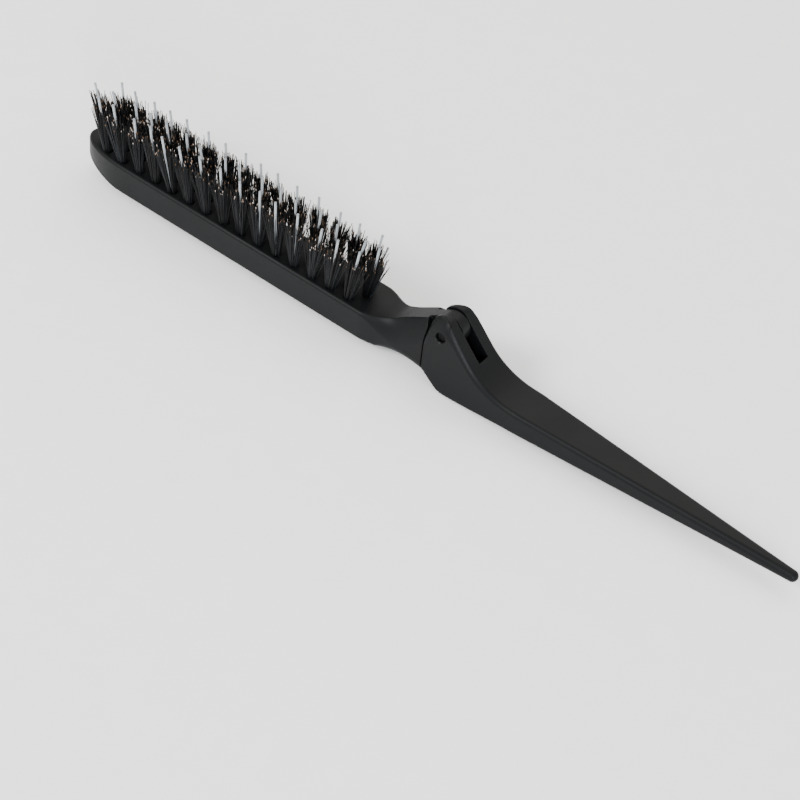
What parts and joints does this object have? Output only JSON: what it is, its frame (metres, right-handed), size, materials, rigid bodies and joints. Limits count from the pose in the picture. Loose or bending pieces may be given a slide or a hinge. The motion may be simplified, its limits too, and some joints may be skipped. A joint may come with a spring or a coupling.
{
  "type": "folding teasing brush",
  "caption": "Narrow bristle brush for teasing and smoothing hair, with a pointed tail handle that folds over the bristles on a hinge pin.",
  "frame": {"origin": "below the middle of the brush's length and width, at the height of the lowest point of its back, with the brush lying on its back, open", "axes": "+X along the brush towards the tip of the tail, +Z the way the bristles point, +Y across the brush"},
  "size_m": [0.239, 0.0146, 0.0308],
  "materials": {
    "soft_touch_black": "soft-touch matt black, moulded",
    "pin_steel": "dark, lightly oxidised",
    "boar_bristle": "natural boar bristle, near black with lighter brown tips; each tuft also has a clear nylon quill",
    "anchor_wire": "plain drawn wire"
  },
  "bodies": {
    "head": {"brush_head": "soft_touch_black", "bristle_row_right": "boar_bristle", "bristle_row_middle": "boar_bristle", "bristle_row_left": "boar_bristle", "tuft_anchor_01": "anchor_wire", "tuft_anchor_02": "anchor_wire", "tuft_anchor_03": "anchor_wire", "tuft_anchor_04": "anchor_wire", "tuft_anchor_05": "anchor_wire", "tuft_anchor_06": "anchor_wire", "tuft_anchor_07": "anchor_wire", "tuft_anchor_08": "anchor_wire", "tuft_anchor_09": "anchor_wire", "tuft_anchor_10": "anchor_wire", "tuft_anchor_11": "anchor_wire", "tuft_anchor_12": "anchor_wire", "tuft_anchor_13": "anchor_wire", "tuft_anchor_14": "anchor_wire", "tuft_anchor_15": "anchor_wire", "tuft_anchor_16": "anchor_wire", "tuft_anchor_17": "anchor_wire", "tuft_anchor_18": "anchor_wire", "tuft_anchor_19": "anchor_wire", "tuft_anchor_20": "anchor_wire", "tuft_anchor_21": "anchor_wire", "tuft_anchor_22": "anchor_wire", "tuft_anchor_23": "anchor_wire", "tuft_anchor_24": "anchor_wire", "tuft_anchor_25": "anchor_wire", "tuft_anchor_26": "anchor_wire", "tuft_anchor_27": "anchor_wire", "tuft_anchor_28": "anchor_wire", "tuft_anchor_29": "anchor_wire", "tuft_anchor_30": "anchor_wire", "tuft_anchor_31": "anchor_wire", "tuft_anchor_32": "anchor_wire", "tuft_anchor_33": "anchor_wire", "tuft_anchor_34": "anchor_wire", "tuft_anchor_35": "anchor_wire", "tuft_anchor_36": "anchor_wire", "tuft_anchor_37": "anchor_wire", "tuft_anchor_38": "anchor_wire", "tuft_anchor_39": "anchor_wire", "tuft_anchor_40": "anchor_wire", "tuft_anchor_41": "anchor_wire", "tuft_anchor_42": "anchor_wire", "tuft_anchor_43": "anchor_wire", "tuft_anchor_44": "anchor_wire", "tuft_anchor_45": "anchor_wire", "tuft_anchor_46": "anchor_wire"},
    "handle": {"tail_handle": "soft_touch_black", "hinge_pin": "pin_steel"}
  },
  "joints": [
    {"name": "tail_fold", "type": "hinge", "parent": "head", "child": "handle", "pos_m": [0.0087, 0, 0.0193], "axis": [0, -1, 0], "range_deg": [0, 172]}
  ]
}
